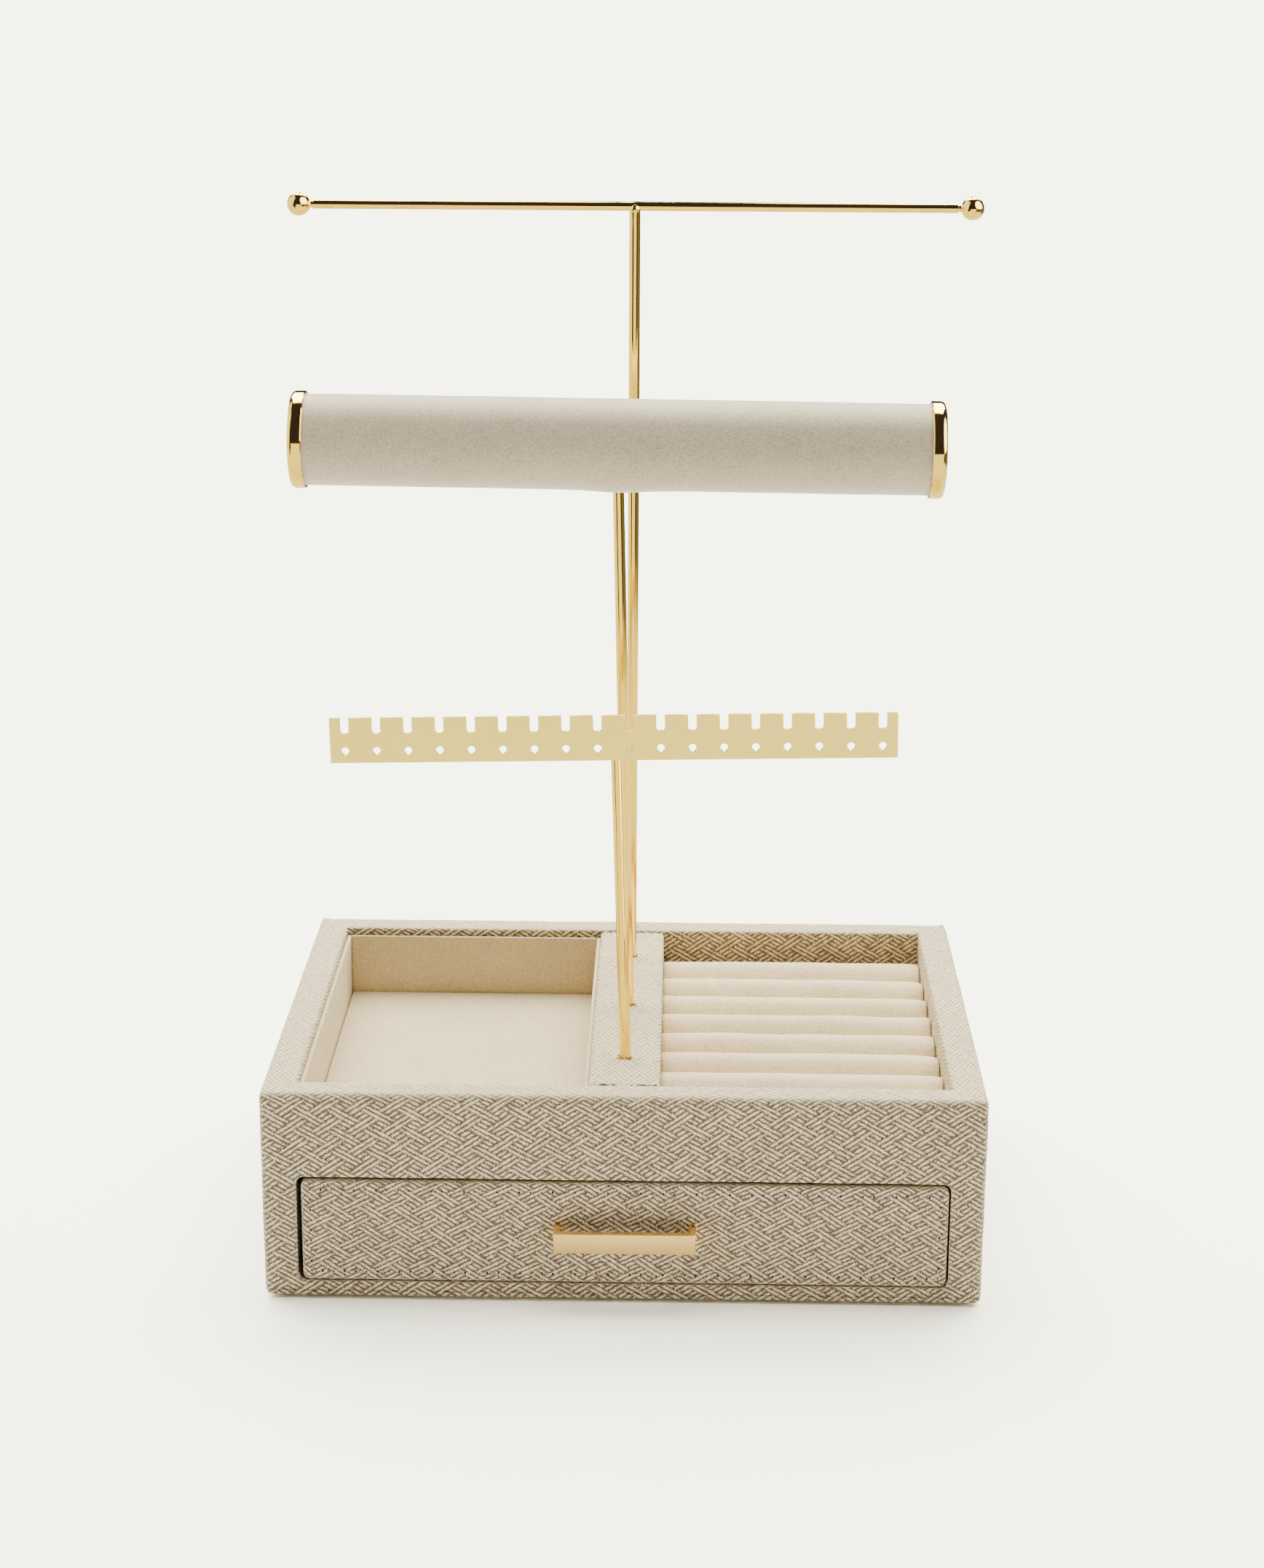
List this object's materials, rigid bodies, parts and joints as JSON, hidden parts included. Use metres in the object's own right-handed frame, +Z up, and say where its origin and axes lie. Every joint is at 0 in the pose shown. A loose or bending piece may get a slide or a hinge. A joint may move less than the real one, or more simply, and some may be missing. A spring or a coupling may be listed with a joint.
{
  "type": "jewelry stand with drawer",
  "caption": "Fabric-wrapped jewellery box with an open tray, a padded ring tray and a front drawer, and upright stands on its divider for earrings, bracelets and necklaces.",
  "frame": {"origin": "middle of the case's outline, at the level of the surface that it stands on", "axes": "+X to the right, +Y to the back and +Z up; the drawer opens towards -Y"},
  "size_m": [0.2502, 0.1885, 0.3668],
  "materials": {
    "weave": "basket-weave jacquard, cream and taupe yarns",
    "suede": "short-pile suede cloth on card",
    "velvet_cream": "velvet over foam",
    "velvet_greige": "velvet over padding",
    "felt": "pressed felt",
    "board": "raw fibreboard",
    "card": "smooth card",
    "gold_polished": "polished light gold plating",
    "gold_satin": "satin light gold plating",
    "steel_plated": "plated steel hardware"
  },
  "bodies": {
    "case": {"base_felt": "felt", "case_bottom": "board", "front_frame": "board", "left_wall": "board", "right_wall": "board", "back_wall": "board", "case_cover": "weave", "bay_lining": "card", "tray_deck": "board", "divider": "board", "divider_cover": "weave", "post_inserts": "steel_plated", "tray_left_lining": "suede", "tray_right_lining": "suede", "tray_front_lining": "suede", "tray_back_lining": "suede", "tray_floor_pad": "suede", "ring_board": "board", "ring_roll_1": "velvet_cream", "ring_roll_2": "velvet_cream", "ring_roll_3": "velvet_cream", "ring_roll_4": "velvet_cream", "ring_roll_5": "velvet_cream", "ring_roll_6": "velvet_cream", "ring_roll_7": "velvet_cream", "ring_roll_8": "velvet_cream"},
    "drawer": {"drawer_front": "board", "drawer_front_cover": "weave", "drawer_left_side": "board", "drawer_right_side": "board", "drawer_back": "board", "drawer_floor": "board", "drawer_left_lining": "suede", "drawer_right_lining": "suede", "drawer_front_lining": "suede", "drawer_back_lining": "suede", "drawer_floor_pad": "suede", "handle": "gold_satin", "handle_washers": "steel_plated", "handle_nuts": "steel_plated"},
    "earring_stand": {"earring_post": "gold_polished", "earring_bar": "gold_satin"},
    "bracelet_stand": {"bracelet_post": "gold_polished", "bracelet_saddle": "board", "bracelet_tube": "card", "bracelet_sleeve": "velvet_greige", "bracelet_left_cap": "gold_polished", "bracelet_right_cap": "gold_polished"},
    "necklace_stand": {"necklace_post": "gold_polished", "necklace_bar": "gold_polished", "necklace_left_ball": "gold_polished", "necklace_right_ball": "gold_polished"}
  },
  "joints": [
    {"name": "drawer_slide", "type": "slide", "parent": "case", "child": "drawer", "axis": [0, -1, 0], "range_m": [0, 0.12]},
    {"name": "earring_swivel", "type": "hinge", "parent": "case", "child": "earring_stand", "pos_m": [0, -0.0515, 0.0767], "axis": [-0.0314, 0, 0.9995], "range_deg": [-80, 80]},
    {"name": "bracelet_swivel", "type": "hinge", "parent": "case", "child": "bracelet_stand", "pos_m": [0, 0, 0.0767], "axis": [-0.0227, 0, 0.9997], "range_deg": [-60, 60]},
    {"name": "necklace_swivel", "type": "hinge", "parent": "case", "child": "necklace_stand", "pos_m": [0, 0.0515, 0.0767], "axis": [0, 0, 1], "range_deg": [-180, 180]}
  ]
}
